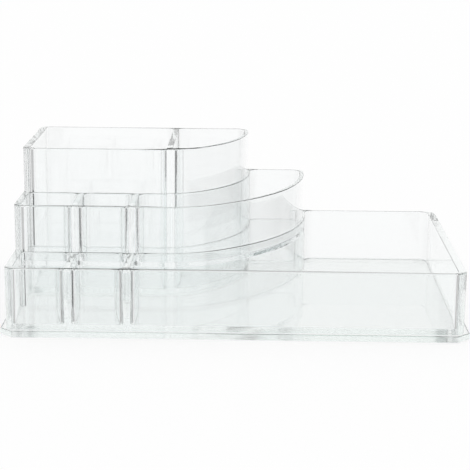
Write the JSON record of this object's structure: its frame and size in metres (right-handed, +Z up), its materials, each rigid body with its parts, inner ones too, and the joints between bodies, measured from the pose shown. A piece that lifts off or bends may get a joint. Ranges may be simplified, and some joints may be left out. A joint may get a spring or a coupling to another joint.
{
  "type": "vanity organizer",
  "caption": "Clear tiered vanity organizer: nested tall, middle and tray bins with dividers and a curved side, bonded side by side on a flat base plate.",
  "frame": {"origin": "on the underside of the base plate, under its centre", "axes": "+X to the right along the long side, +Y from the low front to the tall rear, +Z up"},
  "size_m": [0.236, 0.156, 0.0828],
  "materials": {
    "clear_plastic": "clear colourless moulded polystyrene, polished inside and out",
    "clear_plate": "clear colourless plate with polished faces and edges"
  },
  "bodies": {
    "root": {"base_plate": "clear_plate", "tray": "clear_plastic", "front_divider_left": "clear_plastic", "front_divider_right": "clear_plastic", "middle_bin": "clear_plastic", "middle_floor": "clear_plastic", "middle_divider_left": "clear_plastic", "middle_divider_right": "clear_plastic", "tall_bin": "clear_plastic", "tall_divider": "clear_plastic"}
  },
  "joints": []
}
